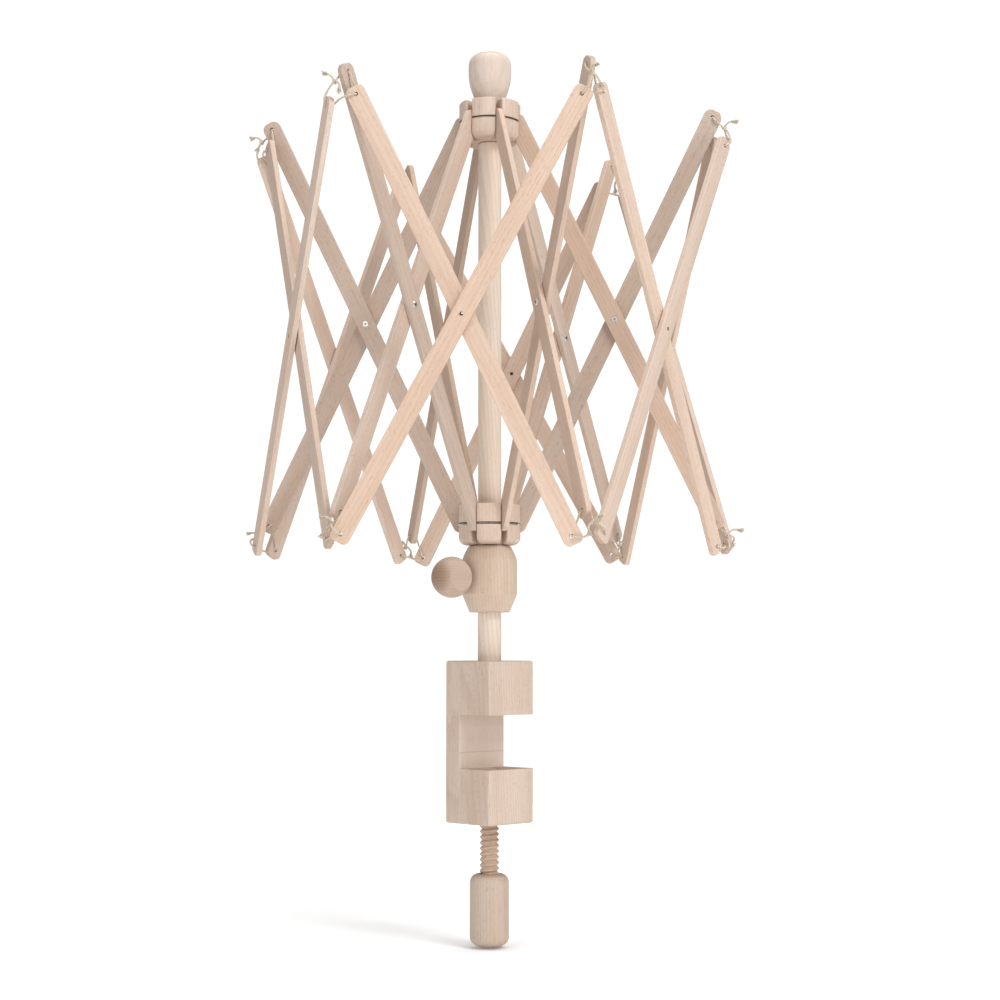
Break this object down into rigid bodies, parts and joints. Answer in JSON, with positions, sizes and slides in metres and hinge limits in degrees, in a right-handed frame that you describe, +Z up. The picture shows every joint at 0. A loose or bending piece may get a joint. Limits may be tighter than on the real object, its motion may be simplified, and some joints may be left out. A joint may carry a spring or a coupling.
{
  "type": "yarn swift",
  "caption": "Wooden umbrella yarn swift: riveted slats fold like an umbrella round a dowel shaft, with a sliding collar, thumbscrew and a screw clamp for a table edge",
  "frame": {"origin": "On the shaft's axis, on the underside of the clamp's upper jaw, the face that rests on the table", "axes": "+Z up along the shaft; +X is the way the clamp's jaws open; +Y completes a right-handed frame"},
  "size_m": [0.3538, 0.3762, 0.6921],
  "materials": {
    "slat_wood": "satin",
    "turned_wood": "satin",
    "clamp_wood": "satin",
    "knob_wood": "satin",
    "twine": "matte",
    "steel": "satin"
  },
  "bodies": {
    "stand": {"clamp_block": "clamp_wood", "shaft": "turned_wood", "finial": "turned_wood"},
    "upper_hub": {"upper_hub": "turned_wood", "upper_wire_ring": "steel"},
    "lower_hub": {"lower_hub": "turned_wood", "lower_wire_ring": "steel"},
    "collar": {"collar": "turned_wood"},
    "thumbscrew": {"thumb_knob": "knob_wood", "thumb_stem": "turned_wood"},
    "clamp_screw": {"clamp_screw": "turned_wood"},
    "clamp_handle": {"clamp_handle": "turned_wood"},
    "arm_upper_0": {"arm_upper_0": "slat_wood", "rivet_0": "steel"},
    "arm_lower_0": {"arm_lower_0": "slat_wood"},
    "tie_top_0": {"tie_top_0": "twine"},
    "tie_bottom_0": {"tie_bottom_0": "twine"},
    "lattice_inner_0": {"lattice_inner_0": "slat_wood"},
    "lattice_outer_0": {"lattice_outer_0": "slat_wood"},
    "arm_upper_1": {"arm_upper_1": "slat_wood", "rivet_1": "steel"},
    "arm_lower_1": {"arm_lower_1": "slat_wood"},
    "tie_top_1": {"tie_top_1": "twine"},
    "tie_bottom_1": {"tie_bottom_1": "twine"},
    "lattice_inner_1": {"lattice_inner_1": "slat_wood"},
    "lattice_outer_1": {"lattice_outer_1": "slat_wood"},
    "arm_upper_2": {"arm_upper_2": "slat_wood", "rivet_2": "steel"},
    "arm_lower_2": {"arm_lower_2": "slat_wood"},
    "tie_top_2": {"tie_top_2": "twine"},
    "tie_bottom_2": {"tie_bottom_2": "twine"},
    "lattice_inner_2": {"lattice_inner_2": "slat_wood"},
    "lattice_outer_2": {"lattice_outer_2": "slat_wood"},
    "arm_upper_3": {"arm_upper_3": "slat_wood", "rivet_3": "steel"},
    "arm_lower_3": {"arm_lower_3": "slat_wood"},
    "tie_top_3": {"tie_top_3": "twine"},
    "tie_bottom_3": {"tie_bottom_3": "twine"},
    "lattice_inner_3": {"lattice_inner_3": "slat_wood"},
    "lattice_outer_3": {"lattice_outer_3": "slat_wood"},
    "arm_upper_4": {"arm_upper_4": "slat_wood", "rivet_4": "steel"},
    "arm_lower_4": {"arm_lower_4": "slat_wood"},
    "tie_top_4": {"tie_top_4": "twine"},
    "tie_bottom_4": {"tie_bottom_4": "twine"},
    "lattice_inner_4": {"lattice_inner_4": "slat_wood"},
    "lattice_outer_4": {"lattice_outer_4": "slat_wood"},
    "arm_upper_5": {"arm_upper_5": "slat_wood", "rivet_5": "steel"},
    "arm_lower_5": {"arm_lower_5": "slat_wood"},
    "tie_top_5": {"tie_top_5": "twine"},
    "tie_bottom_5": {"tie_bottom_5": "twine"},
    "lattice_inner_5": {"lattice_inner_5": "slat_wood"},
    "lattice_outer_5": {"lattice_outer_5": "slat_wood"}
  },
  "joints": [
    {"name": "swift_spin", "type": "hinge", "parent": "stand", "child": "upper_hub", "pos_m": [0, 0, 0.461], "axis": [0, 0, 1], "continuous": true},
    {"name": "fold", "type": "hinge", "parent": "upper_hub", "child": "arm_upper_0", "pos_m": [0.01975, -0.00798, 0.461], "axis": [-0.3746, -0.9272, 0], "range_deg": [-20, 34]},
    {"name": "rivet_pivot_0", "type": "hinge", "parent": "arm_upper_0", "child": "arm_lower_0", "pos_m": [0.09037, -0.03651, 0.30344], "axis": [0.3746, 0.9272, 0], "range_deg": [-40, 68]},
    {"name": "top_pivot_1", "type": "hinge", "parent": "upper_hub", "child": "arm_upper_1", "pos_m": [0.01678, 0.01311, 0.461], "axis": [0.6157, -0.788, 0], "range_deg": [-20, 34]},
    {"name": "rivet_pivot_1", "type": "hinge", "parent": "arm_upper_1", "child": "arm_lower_1", "pos_m": [0.0768, 0.06001, 0.30344], "axis": [-0.6157, 0.788, 0], "range_deg": [-40, 68]},
    {"name": "top_pivot_2", "type": "hinge", "parent": "upper_hub", "child": "arm_upper_2", "pos_m": [-0.00296, 0.02109, 0.461], "axis": [0.9903, 0.1392, 0], "range_deg": [-20, 34]},
    {"name": "rivet_pivot_2", "type": "hinge", "parent": "arm_upper_2", "child": "arm_lower_2", "pos_m": [-0.01356, 0.09652, 0.30344], "axis": [-0.9903, -0.1392, 0], "range_deg": [-40, 68]},
    {"name": "top_pivot_3", "type": "hinge", "parent": "upper_hub", "child": "arm_upper_3", "pos_m": [-0.01975, 0.00798, 0.461], "axis": [0.3746, 0.9272, 0], "range_deg": [-20, 34]},
    {"name": "rivet_pivot_3", "type": "hinge", "parent": "arm_upper_3", "child": "arm_lower_3", "pos_m": [-0.09037, 0.03651, 0.30344], "axis": [-0.3746, -0.9272, 0], "range_deg": [-40, 68]},
    {"name": "top_pivot_4", "type": "hinge", "parent": "upper_hub", "child": "arm_upper_4", "pos_m": [-0.01678, -0.01311, 0.461], "axis": [-0.6157, 0.788, 0], "range_deg": [-20, 34]},
    {"name": "rivet_pivot_4", "type": "hinge", "parent": "arm_upper_4", "child": "arm_lower_4", "pos_m": [-0.0768, -0.06001, 0.30344], "axis": [0.6157, -0.788, 0], "range_deg": [-40, 68]},
    {"name": "top_pivot_5", "type": "hinge", "parent": "upper_hub", "child": "arm_upper_5", "pos_m": [0.00296, -0.02109, 0.461], "axis": [-0.9903, -0.1392, 0], "range_deg": [-20, 34]},
    {"name": "rivet_pivot_5", "type": "hinge", "parent": "arm_upper_5", "child": "arm_lower_5", "pos_m": [0.01356, -0.09652, 0.30344], "axis": [0.9903, 0.1392, 0], "range_deg": [-40, 68]},
    {"name": "bottom_pivot", "type": "hinge", "parent": "arm_lower_0", "child": "lower_hub", "pos_m": [0.01975, -0.00798, 0.14589], "axis": [-0.3746, -0.9272, 0], "range_deg": [-20, 34]},
    {"name": "top_tie_0", "type": "hinge", "parent": "arm_lower_0", "child": "tie_top_0", "pos_m": [0.16099, -0.06504, 0.461], "axis": [-0.3746, -0.9272, 0], "range_deg": [-20, 34], "deforming": ["tie_top_0"]},
    {"name": "bottom_tie_0", "type": "hinge", "parent": "arm_upper_0", "child": "tie_bottom_0", "pos_m": [0.16099, -0.06504, 0.14589], "axis": [0.3746, 0.9272, 0], "range_deg": [-20, 34], "deforming": ["tie_bottom_0"]},
    {"name": "top_tie_1", "type": "hinge", "parent": "arm_lower_1", "child": "tie_top_1", "pos_m": [0.13682, 0.1069, 0.461], "axis": [0.6157, -0.788, 0], "range_deg": [-20, 34], "deforming": ["tie_top_1"]},
    {"name": "bottom_tie_1", "type": "hinge", "parent": "arm_upper_1", "child": "tie_bottom_1", "pos_m": [0.13682, 0.1069, 0.14589], "axis": [-0.6157, 0.788, 0], "range_deg": [-20, 34], "deforming": ["tie_bottom_1"]},
    {"name": "top_tie_2", "type": "hinge", "parent": "arm_lower_2", "child": "tie_top_2", "pos_m": [-0.02416, 0.17194, 0.461], "axis": [0.9903, 0.1392, 0], "range_deg": [-20, 34], "deforming": ["tie_top_2"]},
    {"name": "bottom_tie_2", "type": "hinge", "parent": "arm_upper_2", "child": "tie_bottom_2", "pos_m": [-0.02416, 0.17194, 0.14589], "axis": [-0.9903, -0.1392, 0], "range_deg": [-20, 34], "deforming": ["tie_bottom_2"]},
    {"name": "top_tie_3", "type": "hinge", "parent": "arm_lower_3", "child": "tie_top_3", "pos_m": [-0.16099, 0.06504, 0.461], "axis": [0.3746, 0.9272, 0], "range_deg": [-20, 34], "deforming": ["tie_top_3"]},
    {"name": "bottom_tie_3", "type": "hinge", "parent": "arm_upper_3", "child": "tie_bottom_3", "pos_m": [-0.16099, 0.06504, 0.14589], "axis": [-0.3746, -0.9272, 0], "range_deg": [-20, 34], "deforming": ["tie_bottom_3"]},
    {"name": "top_tie_4", "type": "hinge", "parent": "arm_lower_4", "child": "tie_top_4", "pos_m": [-0.13682, -0.1069, 0.461], "axis": [-0.6157, 0.788, 0], "range_deg": [-20, 34], "deforming": ["tie_top_4"]},
    {"name": "bottom_tie_4", "type": "hinge", "parent": "arm_upper_4", "child": "tie_bottom_4", "pos_m": [-0.13682, -0.1069, 0.14589], "axis": [0.6157, -0.788, 0], "range_deg": [-20, 34], "deforming": ["tie_bottom_4"]},
    {"name": "top_tie_5", "type": "hinge", "parent": "arm_lower_5", "child": "tie_top_5", "pos_m": [0.02416, -0.17194, 0.461], "axis": [-0.9903, -0.1392, 0], "range_deg": [-20, 34], "deforming": ["tie_top_5"]},
    {"name": "bottom_tie_5", "type": "hinge", "parent": "arm_upper_5", "child": "tie_bottom_5", "pos_m": [0.02416, -0.17194, 0.14589], "axis": [0.9903, 0.1392, 0], "range_deg": [-20, 34], "deforming": ["tie_bottom_5"]},
    {"name": "inner_slat_0", "type": "hinge", "parent": "tie_top_0", "child": "lattice_inner_0", "pos_m": [0.16481, -0.05375, 0.4425], "axis": [0.9903, 0.1392, 0], "range_deg": [-20, 34]},
    {"name": "outer_slat_0", "type": "hinge", "parent": "tie_top_1", "child": "lattice_outer_0", "pos_m": [0.1474, 0.10603, 0.436], "axis": [-0.9903, -0.1392, 0], "range_deg": [-20, 34]},
    {"name": "inner_slat_1", "type": "hinge", "parent": "tie_top_1", "child": "lattice_inner_1", "pos_m": [0.12895, 0.11585, 0.4425], "axis": [0.3746, 0.9272, 0], "range_deg": [-20, 34]},
    {"name": "outer_slat_1", "type": "hinge", "parent": "tie_top_2", "child": "lattice_outer_1", "pos_m": [-0.01812, 0.18067, 0.436], "axis": [-0.3746, -0.9272, 0], "range_deg": [-20, 34]},
    {"name": "inner_slat_2", "type": "hinge", "parent": "tie_top_2", "child": "lattice_inner_2", "pos_m": [-0.03585, 0.1696, 0.4425], "axis": [-0.6157, 0.788, 0], "range_deg": [-20, 34]},
    {"name": "outer_slat_2", "type": "hinge", "parent": "tie_top_3", "child": "lattice_outer_2", "pos_m": [-0.16552, 0.07464, 0.436], "axis": [0.6157, -0.788, 0], "range_deg": [-20, 34]},
    {"name": "inner_slat_3", "type": "hinge", "parent": "tie_top_3", "child": "lattice_inner_3", "pos_m": [-0.16481, 0.05375, 0.4425], "axis": [-0.9903, -0.1392, 0], "range_deg": [-20, 34]},
    {"name": "outer_slat_3", "type": "hinge", "parent": "tie_top_4", "child": "lattice_outer_3", "pos_m": [-0.1474, -0.10603, 0.436], "axis": [0.9903, 0.1392, 0], "range_deg": [-20, 34]},
    {"name": "inner_slat_4", "type": "hinge", "parent": "tie_top_4", "child": "lattice_inner_4", "pos_m": [-0.12895, -0.11585, 0.4425], "axis": [-0.3746, -0.9272, 0], "range_deg": [-20, 34]},
    {"name": "outer_slat_4", "type": "hinge", "parent": "tie_top_5", "child": "lattice_outer_4", "pos_m": [0.01812, -0.18067, 0.436], "axis": [0.3746, 0.9272, 0], "range_deg": [-20, 34]},
    {"name": "inner_slat_5", "type": "hinge", "parent": "tie_top_5", "child": "lattice_inner_5", "pos_m": [0.03585, -0.1696, 0.4425], "axis": [0.6157, -0.788, 0], "range_deg": [-20, 34]},
    {"name": "outer_slat_5", "type": "hinge", "parent": "tie_top_0", "child": "lattice_outer_5", "pos_m": [0.16552, -0.07464, 0.436], "axis": [-0.6157, 0.788, 0], "range_deg": [-20, 34]},
    {"name": "collar_stays", "type": "hinge", "parent": "lower_hub", "child": "collar", "pos_m": [0, 0, 0.12949], "axis": [0, 0, 1], "continuous": true},
    {"name": "thumb_turn", "type": "hinge", "parent": "collar", "child": "thumbscrew", "pos_m": [-0.00174, -0.01992, 0.10429], "axis": [-0.0872, -0.9962, 0], "range_deg": [0, 360]},
    {"name": "clamp_slide", "type": "slide", "parent": "stand", "child": "clamp_screw", "axis": [0, 0, 1], "range_m": [0, 0.034]},
    {"name": "clamp_turn", "type": "hinge", "parent": "clamp_screw", "child": "clamp_handle", "pos_m": [0, 0, -0.1], "axis": [0, 0, 1], "range_deg": [0, 2880]}
  ],
  "couplings": [
    {"joint": "rivet_pivot_0", "follows": "fold", "ratio": 2},
    {"joint": "top_pivot_1", "follows": "fold", "ratio": 1},
    {"joint": "rivet_pivot_1", "follows": "fold", "ratio": 2},
    {"joint": "top_pivot_2", "follows": "fold", "ratio": 1},
    {"joint": "rivet_pivot_2", "follows": "fold", "ratio": 2},
    {"joint": "top_pivot_3", "follows": "fold", "ratio": 1},
    {"joint": "rivet_pivot_3", "follows": "fold", "ratio": 2},
    {"joint": "top_pivot_4", "follows": "fold", "ratio": 1},
    {"joint": "rivet_pivot_4", "follows": "fold", "ratio": 2},
    {"joint": "top_pivot_5", "follows": "fold", "ratio": 1},
    {"joint": "rivet_pivot_5", "follows": "fold", "ratio": 2},
    {"joint": "bottom_pivot", "follows": "fold", "ratio": 1},
    {"joint": "top_tie_0", "follows": "fold", "ratio": 1},
    {"joint": "bottom_tie_0", "follows": "fold", "ratio": 1},
    {"joint": "top_tie_1", "follows": "fold", "ratio": 1},
    {"joint": "bottom_tie_1", "follows": "fold", "ratio": 1},
    {"joint": "top_tie_2", "follows": "fold", "ratio": 1},
    {"joint": "bottom_tie_2", "follows": "fold", "ratio": 1},
    {"joint": "top_tie_3", "follows": "fold", "ratio": 1},
    {"joint": "bottom_tie_3", "follows": "fold", "ratio": 1},
    {"joint": "top_tie_4", "follows": "fold", "ratio": 1},
    {"joint": "bottom_tie_4", "follows": "fold", "ratio": 1},
    {"joint": "top_tie_5", "follows": "fold", "ratio": 1},
    {"joint": "bottom_tie_5", "follows": "fold", "ratio": 1},
    {"joint": "inner_slat_0", "follows": "fold", "ratio": 1},
    {"joint": "outer_slat_0", "follows": "fold", "ratio": 1},
    {"joint": "inner_slat_1", "follows": "fold", "ratio": 1},
    {"joint": "outer_slat_1", "follows": "fold", "ratio": 1},
    {"joint": "inner_slat_2", "follows": "fold", "ratio": 1},
    {"joint": "outer_slat_2", "follows": "fold", "ratio": 1},
    {"joint": "inner_slat_3", "follows": "fold", "ratio": 1},
    {"joint": "outer_slat_3", "follows": "fold", "ratio": 1},
    {"joint": "inner_slat_4", "follows": "fold", "ratio": 1},
    {"joint": "outer_slat_4", "follows": "fold", "ratio": 1},
    {"joint": "inner_slat_5", "follows": "fold", "ratio": 1},
    {"joint": "outer_slat_5", "follows": "fold", "ratio": 1},
    {"joint": "collar_stays", "follows": "swift_spin", "ratio": -1},
    {"joint": "clamp_slide", "follows": "clamp_turn", "m_per_rad": 0.00067641}
  ]
}
